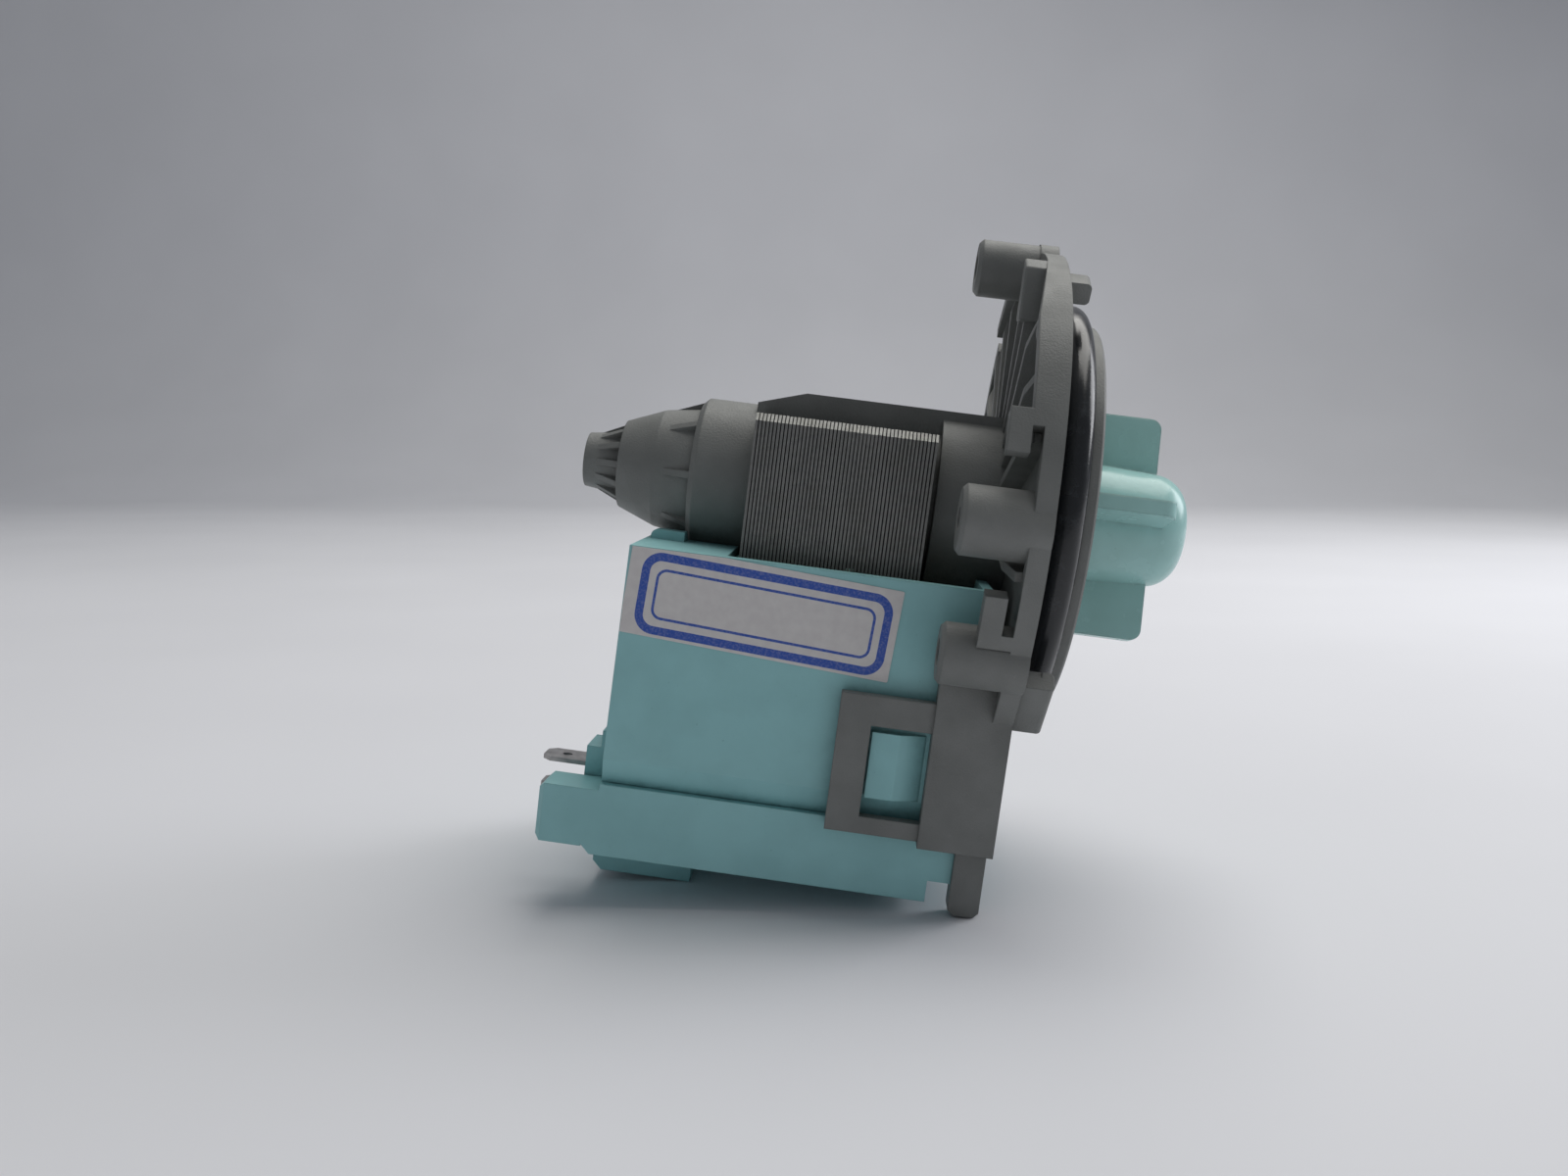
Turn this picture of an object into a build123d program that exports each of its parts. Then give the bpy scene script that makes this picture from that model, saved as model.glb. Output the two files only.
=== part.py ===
from build123d import *
import math
import os

# Washer drain pump: a wet-rotor synchronous motor that carries its own impeller.
# Millimetres. X is the rotor axis and points from the motor to the impeller, Z is up,
# and the coil box hangs below the axis. The origin is where the rotor axis meets
# the flange's front plane. Angles round the axis start at the top and grow towards -Y.

# Sizes shared by several pieces
overrun = 1.0
running_gap = 0.05
seat_gap = 0.1
free_gap = 0.3

# Rotor and shaft
shaft_radius = 2.5
magnet_length = 34.7
magnet_wall = 5.1
rotor_gap = 0.7
sleeve_flange_inset = 1.9
sleeve_flange_thickness = 1.5
sleeve_hub_wall = 1.7
washer_thickness = 1.0
washer_width = 2.3

# Canister that the rotor turns in
canister_radius = 14.0
canister_wall = 2.0
neck_step = 2.5
neck_wall = 3.0
neck_reach = 16.4
stack_setback = 0.9
lamination_count = 49
lamination_thickness = 0.64
collar_overhang = 11.3
collar_chamfer = 1.0
dome_step = 2.2
dome_wall = 1.8
dome_length = 13.8
dome_bulge = 0.9
tip_wall = 2.6
tip_taper = 0.8
tip_length = 6.8
shoulder_step = 0.8
dome_rib_count = 8
dome_rib_length = 5.6
dome_rib_thickness = 1.3
tip_fin_count = 12
tip_fin_length = 5.0
tip_fin_thickness = 1.2

# Flange
rim_radius = 46.6
rim_depth = 3.3
rim_wall = 2.6
web_thickness = 2.4
skirt_depth = 5.2
skirt_from = 45.0
skirt_to = 68.0
rib_thickness = 1.6
rib_depth = 5.9
rib_rim_depth = 4.4
rib_flat_radius = 38.0
rib_angles = (12.0, 27.0, 42.0, 57.0, 72.0, 100.0)
land_width = 7.0
land_height = 0.8
screw_circle_radius = 43.2
screw_hole_radius = 2.3
boss_radius = 5.05
boss_reach = 14.0
boss_chamfer = 0.7
boss_angles = (0.0, 120.0, 240.0)
side_screw_radius = 41.6
side_hole_radius = 1.9
side_boss_radius = 5.6
side_boss_angles = (90.0, 270.0)
ear_radius = 5.3

# Hooks behind the rim and tabs in front of it, the same on both sides
lug_reach = 8.6
lug_wall = 3.4
plain_lug_from = 20.0
plain_lug_to = 48.0
plain_lug_reach = 7.8
plain_lug_inset = 1.1
far_lug_to = 39.0
far_lug_reach = 6.2
hook_upper_from = 67.2
hook_upper_arm = 3.4
hook_upper_to = 76.0
hook_lower_from = 103.6
hook_lower_arm = 3.2
hook_lower_to = 114.6
hook_slot_rear = 5.1
front_tab_angles = (27.0, 130.5)
front_tab_reaches = (3.8, 5.0)
front_tab_widths = (4.2, 11.4)
front_tab_radius = 42.0
front_tab_thickness = 3.6

# Spigot, seal and pump chamber floor
groove_radius = 33.0
seal_section = 5.3
seal_setoff = 0.8
lip_step = 1.9
lip_wall = 1.8
lip_reach = 8.0
lip_chamfer = 0.4
hub_seat_reach = 3.0
seal_sides = 12

# Front bearing carrier, with its seats
carrier_rear = 6.2
carrier_face = 1.0
carrier_ring_section = 1.8
carrier_ring_place = 2.0
carrier_ring_sides = 8
bush_wall = 2.5
bush_length = 9.0
bush_rear = 7.1
mount_wall = 3.0
mount_inset = 0.6
tip_bore_gap = 0.7
tip_bore_length = 4.6
rear_pocket_length = 8.0
rear_mount_wall = 1.3

# Laminated core
leg_side_room = 9.0
leg_thickness = 10.0
leg_top = 12.4
leg_chamfer = 1.3
coil_to_yoke = 1.1
yoke_height = 11.5

# Coils
bobbin_wall = 1.1
bobbin_reach = 4.9
bobbin_top = 17.6
bobbin_bottom = 49.4
bobbin_flange_thickness = 1.5
winding_inset = 0.7
winding_corner = 3.5

# Coil cover and the lid below it
cover_half_width = 29.5
cover_wall = 1.8
cover_top = 11.9
cover_front = 5.4
cover_rear_room = 17.5
cover_rear_slope = 0.6
cover_deck_setback = 1.4
seam_drop = 3.6
cover_chamfer_height = 4.4
cover_chamfer_inset = 1.9
barb_setback = 0.7
barb_ramp = 4.3
barb_flat = 4.7
barb_lift = 4.6
barb_length = 11.2
barb_height = 2.0
cradle_inset = 0.8
cradle_half_width = 13.0
cradle_rise = 1.7
cradle_length = 6.0
cradle_round = 1.2
lid_rear_step = 2.2
lid_front_step = 0.5
lid_under_yoke = 3.4
lid_floor = 1.8
lid_corner = 1.6
lid_ledge_drop = 1.1
lid_notch_front = 3.9
lid_notch_height = 3.7
lid_foot_setback = 2.3
lid_foot_length = 18.0
lid_foot_drop = 7.6
lid_foot_half_width = 15.0
lid_foot_chamfer = 1.6

# Plug side of the box
plug_reach = 8.1
plug_width = 8.2
plug_height = 10.1
plug_corner = 0.9
blade_width = 6.3
blade_thickness = 0.8
blade_length = 8.0
blade_centre = 16.5
blade_pitch = 5.0
blade_hole_radius = 0.85
blade_hole_inset = 3.9
blade_nose = 1.4
blade_nose_inset = 1.3
blade_root = 6.0
holder_reach = 4.4
holder_height = 5.2
holder_width = 8.6
holder_step_reach = 1.9
holder_step_height = 3.0
shelf_height = 6.3

# Arms that hold the box to the flange
arm_thickness = 3.6
arm_rear = 12.6
apron_top = 27.5
apron_thickness = 2.4
loop_setback = 0.6
loop_thickness = 2.3
loop_upright = 5.5
loop_rail_top = 5.0
loop_rail_bottom = 2.9
window_rear_gap = 0.4
window_top_gap = 1.2
window_bottom_gap = 3.0
arm_overhang = 1.0
foot_front = 0.7
foot_rear = 5.9
foot_setback = 2.6
foot_thickness = 4.6
foot_drop = 1.3
foot_chamfer = 0.9

# Ridge on top of the canister
ridge_overhang = 1.1
ridge_ramp = 8.6
ridge_top = 16.9
ridge_ramp_drop = 2.6
ridge_half_width = 6.4
ridge_groove_width = 1.2
ridge_groove_depth = 0.9
ridge_groove_place = 3.6

# Impeller
blade_phase = -14.0
impeller_blade_count = 4
impeller_radius = 20.6
impeller_back = 4.6
impeller_front = 24.0
impeller_blade_thickness = 2.7
impeller_corner = 2.0
hub_radius = 11.3
hub_nose_radius = 10.0
hub_corner = 6.0
hub_nose = 29.4
hub_wall = 2.0
hub_front_wall = 7.2
hub_cover_thickness = 3.0
hub_socket_wall = 2.1
hub_socket_depth = 5.0
shaft_end_depth = 2.4
dog_rear_gap = 1.8
dog_front_gap = 0.4
dog_hub_wall = 2.1
dog_half_angle = 16.0
tooth_half_angle = 9.0
damper_half_angle = 21.0
tooth_gap = 1.1
damper_web = 0.5
seal_lip_wall = 1.9

# Label
label_length = 45.6
label_height = 15.4
label_thickness = 0.15
label_inset = 0.1
label_drop = 0.5
label_turn = 3.3
label_corner = 0.3

# Radii of the rotor and of the can round it, worked out from the sizes above
bore_radius = canister_radius - canister_wall
magnet_radius = bore_radius - rotor_gap
magnet_inner_radius = magnet_radius - magnet_wall
sleeve_flange_radius = magnet_radius - sleeve_flange_inset
sleeve_hub_radius = shaft_radius + sleeve_hub_wall
washer_radius = shaft_radius + washer_width
bush_radius = shaft_radius + bush_wall
rear_pocket_radius = bush_radius + rear_mount_wall
neck_radius = canister_radius + neck_step
carrier_radius = neck_radius - neck_wall
dome_front_radius = canister_radius - dome_step
dome_rear_radius = rear_pocket_radius + dome_wall
shoulder_radius = dome_rear_radius - shoulder_step
tip_bore_radius = shaft_radius + tip_bore_gap
tip_front_radius = tip_bore_radius + tip_wall
tip_rear_radius = tip_front_radius - tip_taper
hub_socket_radius = shaft_radius + hub_socket_wall
dog_hub_radius = shaft_radius + dog_hub_wall
seal_lip_radius = shaft_radius + seal_lip_wall
tooth_inner_radius = dog_hub_radius + tooth_gap

# Radii of the flange
land_radius = groove_radius + land_width
lip_radius = groove_radius + lip_step
chamber_radius = groove_radius - lip_wall

# Stations along the axis
stack_length = lamination_count * lamination_thickness
stack_front = -(neck_reach + stack_setback)
stack_rear = stack_front - stack_length
collar_rear = stack_rear - collar_overhang
dome_rear = collar_rear - dome_length
tip_rear = dome_rear - tip_length
magnet_middle = (stack_front + stack_rear) / 2
magnet_front = magnet_middle + magnet_length / 2
magnet_rear = magnet_middle - magnet_length / 2
rear_pocket_rear = dome_rear + seat_gap
rear_pocket_front = rear_pocket_rear + rear_pocket_length
hub_shoulder = hub_nose - hub_front_wall
shaft_front = hub_shoulder + shaft_end_depth
dog_rear = impeller_back + hub_cover_thickness + dog_rear_gap
dog_front = hub_shoulder - hub_socket_depth - dog_front_gap
ridge_rear = -stack_rear + ridge_overhang
cover_rear_top = -stack_rear + cover_rear_room
cover_rear_bottom = cover_rear_top + cover_rear_slope
cover_deck_front = -stack_rear + cover_deck_setback
cradle_rear = cover_rear_top - cradle_inset
lid_rear = cover_rear_bottom + lid_rear_step
lid_front = cover_front + lid_front_step
lid_foot_front = -stack_rear + lid_foot_setback
barb_front = arm_rear + barb_setback
barb_crest = barb_front + barb_ramp
barb_rear = barb_crest + barb_flat
window_rear = barb_rear + window_rear_gap
loop_rear = window_rear + loop_upright

# Depths below the axis
cradle_top = cover_top - cradle_rise
yoke_bottom = bobbin_bottom + coil_to_yoke + yoke_height
cover_seam = bobbin_bottom + seam_drop
cover_chamfer_from = cover_seam - cover_chamfer_height
lid_bottom = yoke_bottom + lid_under_yoke
lid_foot_bottom = lid_bottom + lid_foot_drop
barb_bottom = cover_seam - barb_lift
barb_top = barb_bottom - barb_length
window_top = barb_top - window_top_gap
window_bottom = barb_bottom + window_bottom_gap
loop_top = window_top - loop_rail_top
loop_bottom = window_bottom + loop_rail_bottom
arm_bottom = loop_bottom + arm_overhang
foot_bottom = lid_bottom + foot_drop
blade_bottom = cover_seam - seat_gap

# Distances from the middle plane
leg_outer = cover_half_width - leg_side_room
leg_middle = leg_outer - leg_thickness / 2
cover_inner = cover_half_width - cover_wall - cover_chamfer_inset / 2
arm_face = cover_half_width + seat_gap + arm_thickness
loop_face = arm_face - loop_setback
foot_face = arm_face - foot_setback


def x_cylinder(radius, x_from, x_to):
    """A round bar on the rotor axis."""
    disc = Plane.YZ.offset(x_from) * Circle(radius)
    return extrude(disc, amount=x_to - x_from)


def x_tube(outer, inner, x_from, x_to):
    """A round tube on the rotor axis."""
    ring = Plane.YZ.offset(x_from) * (Circle(outer) - Circle(inner))
    return extrude(ring, amount=x_to - x_from)


def turned(points):
    """A body turned about the rotor axis from (x, radius) points."""
    return revolve(Plane.XZ * make_face(Polyline(*points, close=True)), Axis.X)


def box(x_from, x_to, y_from, y_to, z_from, z_to):
    """A block between two opposite corners."""
    centre = ((x_from + x_to) / 2, (y_from + y_to) / 2, (z_from + z_to) / 2)
    return Pos(*centre) * Box(abs(x_to - x_from), abs(y_to - y_from), abs(z_to - z_from))


def side_plate(points, y_from, y_to):
    """A plate cut from (x, z) points, between two values of y."""
    face = Plane.XZ.offset(-max(y_from, y_to)) * make_face(Polyline(*points, close=True))
    return extrude(face, amount=abs(y_to - y_from))


def sector(outer, inner, angle_from, angle_to, x_from, x_to):
    """A piece of a ring between two angles, counted from the top towards -Y."""
    sweep = angle_to - angle_from
    outline = Plane.XZ * make_face(
        Polyline((x_from, inner), (x_to, inner), (x_to, outer), (x_from, outer), close=True)
    )
    return Rot(angle_from, 0, 0) * revolve(outline, Axis.X, sweep)


def both_sides(shape):
    """A shape and its mirror image in the plane of the axis and Z."""
    return [shape, mirror(shape, Plane.XZ)]


def round_about(shape, count):
    """Copies of a shape evenly round the axis."""
    return [Rot(360 * turn / count, 0, 0) * shape for turn in range(count)]


def canister_body():
    """The closed rotor can: neck, tube, domed end and finned tip."""
    dome_middle = (collar_rear + dome_rear) / 2
    dome_middle_radius = (dome_front_radius + dome_rear_radius) / 2 + dome_bulge
    outline = [
        (0, 0),
        (0, neck_radius),
        (-neck_reach, neck_radius),
        (-neck_reach, canister_radius),
        (collar_rear + collar_chamfer, canister_radius),
        (collar_rear, canister_radius - collar_chamfer),
        (collar_rear, dome_front_radius),
        (dome_middle, dome_middle_radius),
        (dome_rear, dome_rear_radius),
        (dome_rear, tip_front_radius),
        (tip_rear, tip_rear_radius),
        (tip_rear, 0),
    ]
    can = turned(outline)
    rib = side_plate(
        [
            (collar_rear, dome_rear_radius),
            (collar_rear - dome_rib_length, dome_rear_radius),
            (collar_rear - dome_rib_length, dome_middle_radius),
            (collar_rear, canister_radius - collar_chamfer),
        ],
        -dome_rib_thickness / 2,
        dome_rib_thickness / 2,
    )
    fin = side_plate(
        [
            (dome_rear, tip_rear_radius / 2),
            (dome_rear - tip_fin_length, tip_rear_radius / 2),
            (dome_rear - tip_fin_length, tip_rear_radius),
            (dome_rear, shoulder_radius),
        ],
        -tip_fin_thickness / 2,
        tip_fin_thickness / 2,
    )
    return can + round_about(rib, dome_rib_count) + round_about(fin, tip_fin_count)


def canister_bore():
    """The room inside the can, from the carrier seat back to the rear bearing."""
    cone_rear_radius = rear_pocket_radius + mount_wall / 2
    cone_front_radius = dome_front_radius - canister_wall
    return turned(
        [
            (hub_seat_reach + overrun, 0),
            (hub_seat_reach + overrun, carrier_radius),
            (-carrier_rear, carrier_radius),
            (-carrier_rear, bore_radius),
            (collar_rear + canister_wall, bore_radius),
            (collar_rear + canister_wall, cone_front_radius),
            (rear_pocket_front, cone_rear_radius),
            (rear_pocket_front, rear_pocket_radius),
            (rear_pocket_rear, rear_pocket_radius),
            (rear_pocket_rear, tip_bore_radius),
            (rear_pocket_rear - tip_bore_length, tip_bore_radius),
            (rear_pocket_rear - tip_bore_length, 0),
        ]
    )


def flange_body():
    """The disc with its rim, seal land, spigot lip and radial ribs."""
    plate = turned(
        [
            (0, 0),
            (0, chamber_radius),
            (lip_reach, chamber_radius),
            (lip_reach, lip_radius - lip_chamfer),
            (lip_reach - lip_chamfer, lip_radius),
            (seal_setoff + seal_section, lip_radius),
            (seal_setoff + seal_section, groove_radius),
            (land_height, groove_radius),
            (land_height, land_radius),
            (0, land_radius),
            (0, rim_radius),
            (-rim_depth, rim_radius),
            (-rim_depth, rim_radius - rim_wall),
            (-web_thickness, rim_radius - rim_wall),
            (-web_thickness, 0),
        ]
    )
    hub_seat = x_cylinder(neck_radius, 0, hub_seat_reach)
    skirt = sector(rim_radius, rim_radius - rim_wall, skirt_from, skirt_to, -skirt_depth, 0)
    rib = side_plate(
        [
            (0, canister_radius),
            (-rib_depth, canister_radius),
            (-rib_depth, rib_flat_radius),
            (-rib_rim_depth, rim_radius - rim_wall),
            (0, rim_radius - rim_wall),
        ],
        -rib_thickness / 2,
        rib_thickness / 2,
    )
    ribs = [Rot(side * angle, 0, 0) * rib for angle in rib_angles for side in (1, -1)]
    return plate + hub_seat + both_sides(skirt) + ribs


def rim_lugs():
    """The plain lugs and bayonet hooks behind the rim, with the tabs in front."""
    inner = rim_radius - lug_wall
    outer = rim_radius - plain_lug_inset
    plain = sector(outer, inner, plain_lug_from, plain_lug_to, -plain_lug_reach, 0)
    far_plain = sector(outer, inner, -far_lug_to, -plain_lug_from, -far_lug_reach, 0)
    upper = sector(rim_radius, inner, hook_upper_from, hook_upper_from + hook_upper_arm, -lug_reach, 0)
    upper += sector(rim_radius, inner, hook_upper_from, hook_upper_to, -lug_reach, -hook_slot_rear)
    lower = sector(rim_radius, inner, hook_lower_to - hook_lower_arm, hook_lower_to, -lug_reach, 0)
    lower += sector(rim_radius, inner, hook_lower_from, hook_lower_to, -lug_reach, -hook_slot_rear)
    pieces = [plain, far_plain] + both_sides(upper) + both_sides(lower)
    for angle, reach, width in zip(front_tab_angles, front_tab_reaches, front_tab_widths):
        tab = box(
            -web_thickness, reach, -width / 2, width / 2,
            front_tab_radius, front_tab_radius + front_tab_thickness,
        )
        tab = fillet(tab.edges().filter_by(Axis.Y).group_by(Axis.X)[-1], front_tab_thickness / 4)
        pieces += both_sides(Rot(angle, 0, 0) * tab)
    return pieces


def screw_boss(radius, circle, angle):
    """A tall boss behind the flange, chamfered at its free end."""
    post = Pos(0, 0, circle) * x_cylinder(radius, -boss_reach, 0)
    post = chamfer(post.edges().group_by(Axis.X)[0], boss_chamfer)
    return Rot(angle, 0, 0) * post


def screw_hole(radius, circle, angle):
    """The screw's way through a boss and the flange."""
    hole = x_cylinder(radius, -boss_reach - overrun, hub_seat_reach)
    return Rot(angle, 0, 0) * (Pos(0, 0, circle) * hole)


def canister_ridge():
    """The raised rib on top of the can, between the core's legs."""
    block = side_plate(
        [
            (0, canister_radius / 2),
            (-ridge_rear, canister_radius / 2),
            (-ridge_rear, ridge_top - ridge_ramp_drop),
            (ridge_ramp - ridge_rear, ridge_top),
            (0, ridge_top),
        ],
        -ridge_half_width,
        ridge_half_width,
    )
    groove = box(
        -ridge_rear - overrun, -rib_depth,
        ridge_groove_place, ridge_groove_place + ridge_groove_width,
        ridge_top - ridge_groove_depth, ridge_top + overrun,
    )
    return block - both_sides(groove)


def side_arm():
    """One arm of the flange: the block, the clip loop and the foot, on the -Y side."""
    inner = -(cover_half_width + seat_gap)
    arm_top = screw_circle_radius * math.cos(math.radians(boss_angles[1]))
    block = box(-arm_rear, 0, -arm_face, inner, -arm_bottom, arm_top)
    loop = side_plate(
        [
            (-arm_rear, -loop_top),
            (-loop_rear, -loop_top),
            (-loop_rear, -loop_bottom),
            (-arm_rear, -loop_bottom),
        ],
        -loop_face,
        loop_thickness - loop_face,
    )
    window = box(
        -window_rear, -arm_rear, -loop_face - overrun, inner + overrun, -window_bottom, -window_top
    )
    foot = box(
        -foot_rear, -foot_front, -foot_face, foot_thickness - foot_face, -foot_bottom, -arm_bottom
    )
    foot = chamfer(foot.edges().filter_by(Axis.Y).group_by(Axis.Z)[0], foot_chamfer)
    tie_rear = seat_gap - cover_front
    tie = box(tie_rear, 0, inner, foot_thickness - foot_face, -arm_bottom, foot_thickness - arm_bottom)
    return block + (loop - window) + foot + tie


def front_housing():
    """The grey moulding: flange, rotor can, bosses, hooks, arms and feet."""
    body = flange_body() + canister_body() + canister_ridge()
    body += rim_lugs()
    body += [screw_boss(boss_radius, screw_circle_radius, angle) for angle in boss_angles]
    body += [screw_boss(side_boss_radius, side_screw_radius, angle) for angle in side_boss_angles]
    body += Pos(0, 0, screw_circle_radius) * x_cylinder(ear_radius, -rim_depth, 0)
    apron = box(-apron_thickness, 0, -arm_face, arm_face, -arm_bottom, -apron_top)
    body += apron
    body += both_sides(side_arm())
    body -= canister_bore()
    body -= [screw_hole(screw_hole_radius, screw_circle_radius, angle) for angle in boss_angles]
    body -= [screw_hole(side_hole_radius, side_screw_radius, angle) for angle in side_boss_angles]
    return body


def flange_seal():
    """The O-ring that lies in the groove behind the spigot lip."""
    section = RegularPolygon(seal_section / 2 - running_gap, seal_sides)
    centre = seal_setoff + seal_section / 2
    return revolve(Plane.XZ * (Pos(centre, groove_radius + seal_section / 2) * section), Axis.X)


def core_laminations():
    """The U-shaped stack: two legs with pole arcs round the can, joined by a yoke."""
    leg_inner = leg_outer - leg_thickness
    outline = Polyline(
        (-leg_outer, -yoke_bottom),
        (leg_outer, -yoke_bottom),
        (leg_outer, leg_top - leg_chamfer),
        (leg_outer - leg_chamfer, leg_top),
        (ridge_half_width + seat_gap, leg_top),
        (ridge_half_width + seat_gap, 0),
        (leg_inner, 0),
        (leg_inner, yoke_height - yoke_bottom),
        (-leg_inner, yoke_height - yoke_bottom),
        (-leg_inner, 0),
        (-ridge_half_width - seat_gap, 0),
        (-ridge_half_width - seat_gap, leg_top),
        (leg_chamfer - leg_outer, leg_top),
        (-leg_outer, leg_top - leg_chamfer),
        close=True,
    )
    stack = extrude(Plane.YZ.offset(stack_rear) * make_face(outline), amount=stack_length)
    bore = x_cylinder(canister_radius + seat_gap, stack_rear - overrun, stack_front + overrun)
    return stack - bore


def bobbin(side):
    """A coil former round one leg, with a flange at each end."""
    middle = side * leg_middle
    inner_x = stack_length / 2 + seat_gap
    inner_y = leg_thickness / 2 + seat_gap
    wall_x = inner_x + bobbin_wall
    wall_y = inner_y + bobbin_wall
    flange_x = wall_x + bobbin_reach
    flange_inner = side * max(seat_gap, leg_middle - wall_y - bobbin_reach)
    flange_outer = side * (cover_inner - seat_gap)
    former = box(
        magnet_middle - wall_x, magnet_middle + wall_x, middle - wall_y, middle + wall_y,
        -bobbin_bottom, -bobbin_top,
    )
    for height in (-bobbin_top - bobbin_flange_thickness, -bobbin_bottom):
        former += box(
            magnet_middle - flange_x, magnet_middle + flange_x, flange_inner, flange_outer,
            height, height + bobbin_flange_thickness,
        )
    return former - box(
        magnet_middle - inner_x, magnet_middle + inner_x, middle - inner_y, middle + inner_y,
        -bobbin_bottom - overrun, overrun - bobbin_top,
    )


def winding(side):
    """The wound copper between the two flanges of a coil former."""
    middle = side * leg_middle
    wall_x = stack_length / 2 + seat_gap + bobbin_wall
    wall_y = leg_thickness / 2 + seat_gap + bobbin_wall
    coil_x = wall_x + bobbin_reach - winding_inset
    coil_inner = side * max(seat_gap + winding_inset, leg_middle - wall_y - bobbin_reach + winding_inset)
    coil_outer = side * (cover_inner - seat_gap - winding_inset)
    low = bobbin_flange_thickness - bobbin_bottom
    high = -bobbin_top - bobbin_flange_thickness
    coil = box(magnet_middle - coil_x, magnet_middle + coil_x, coil_inner, coil_outer, low, high)
    coil = fillet(coil.edges().filter_by(Axis.Z), winding_corner)
    return coil - box(
        magnet_middle - wall_x, magnet_middle + wall_x, middle - wall_y, middle + wall_y,
        low - overrun, high + overrun,
    )


def coil_cover():
    """The box over the coils: open below and over the legs, with a deck under the can."""
    shell = side_plate(cover_outline(0), -cover_half_width, cover_half_width)
    shell -= both_sides(cover_bevel())
    cradle = box(
        -cradle_rear, cradle_length - cradle_rear, -cradle_half_width, cradle_half_width,
        -cover_top - cover_wall, -cradle_top,
    )
    cradle = fillet(cradle.edges().filter_by(Axis.Y).group_by(Axis.Z)[-1].sort_by(Axis.X)[0], cradle_round)
    shell += cradle
    hollow = side_plate(
        [
            (-cover_front - cover_wall, -cover_top - cover_wall),
            (cover_wall - cover_rear_top, -cover_top - cover_wall),
            (cover_wall - cover_rear_bottom, -cover_seam - overrun),
            (-cover_front - cover_wall, -cover_seam - overrun),
        ],
        -cover_inner,
        cover_inner,
    )
    shell -= hollow
    shell -= x_cylinder(canister_radius + seat_gap, -cover_rear_bottom - overrun, 0)
    shell -= x_cylinder(neck_radius + free_gap, -neck_reach - free_gap, 0)
    shell -= box(
        -cover_deck_front, -cover_front - cover_wall, -cover_inner, cover_inner, -cover_seam, overrun
    )
    barb_points = [
        (-barb_rear, -cover_half_width + cover_wall / 2),
        (-barb_rear, -cover_half_width - barb_height),
        (-barb_crest, -cover_half_width - barb_height),
        (-barb_front, -cover_half_width - seat_gap),
        (-barb_front, -cover_half_width + cover_wall / 2),
    ]
    barb = extrude(
        Plane.XY.offset(-barb_bottom) * make_face(Polyline(*barb_points, close=True)),
        amount=barb_bottom - barb_top,
    )
    shell += both_sides(barb)
    return shell + terminal_holder() - terminal_slot(0)


def cover_outline(margin):
    """The (x, z) corners of the cover's side, drawn in by a margin."""
    return [
        (-cover_front - margin, -cover_top - margin),
        (margin - cover_rear_top, -cover_top - margin),
        (margin - cover_rear_bottom, margin - cover_seam),
        (-cover_front - margin, margin - cover_seam),
    ]


def cover_bevel():
    """A long wedge that bevels the lower edge of the cover's -Y side."""
    bevelled = cover_chamfer_inset - cover_half_width
    points = [
        (-cover_half_width - overrun, -cover_chamfer_from),
        (-cover_half_width, -cover_chamfer_from),
        (bevelled, -cover_seam),
        (bevelled, -cover_seam - overrun),
        (-cover_half_width - overrun, -cover_seam - overrun),
    ]
    face = Plane.YZ.offset(-cover_rear_bottom - overrun) * make_face(Polyline(*points, close=True))
    return extrude(face, amount=cover_rear_bottom + 2 * overrun)


def terminal_holder():
    """The block on the cover's back that the upper terminal stands in."""
    near = -blade_centre - holder_width / 2
    far = holder_width / 2 - blade_centre
    low = -cover_seam - lid_ledge_drop
    high = low + holder_height
    rear = -cover_rear_bottom - holder_reach
    block = box(rear, cover_wall - cover_rear_bottom, near, far, -cover_seam, high)
    block += box(rear, -cover_rear_bottom - seat_gap, near, far, low, high)
    block += box(
        -cover_rear_bottom - holder_step_reach, cover_wall - cover_rear_bottom,
        near, far, high, high + holder_step_height,
    )
    return block


def terminal_shelf():
    """The block behind the lid that the lower terminal stands in."""
    top = -cover_seam - lid_ledge_drop
    return box(
        -cover_rear_bottom - holder_reach, -lid_rear,
        -blade_centre - holder_width / 2, holder_width / 2 - blade_centre,
        top - shelf_height, top,
    )


def terminal_slot(drop):
    """The slot that a terminal is pushed into, at a drop below the upper one."""
    return box(
        -cover_rear_bottom - holder_reach - overrun, blade_root - cover_rear_bottom,
        -blade_centre - blade_width / 2, blade_width / 2 - blade_centre,
        -blade_bottom - drop, blade_thickness - blade_bottom - drop,
    )


def terminal(drop):
    """A flat push-on terminal with a hole and a tapered nose."""
    root = -cover_rear_bottom - holder_reach + blade_root
    nose = -cover_rear_bottom - holder_reach - blade_length
    near = -blade_centre - blade_width / 2
    far = blade_width / 2 - blade_centre
    outline = Polyline(
        (root, near),
        (nose + blade_nose, near),
        (nose, near + blade_nose_inset),
        (nose, far - blade_nose_inset),
        (nose + blade_nose, far),
        (root, far),
        close=True,
    )
    blade = make_face(outline) - Pos(nose + blade_hole_inset, -blade_centre) * Circle(blade_hole_radius)
    return extrude(Plane.XY.offset(-blade_bottom - drop) * blade, amount=blade_thickness)


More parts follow.
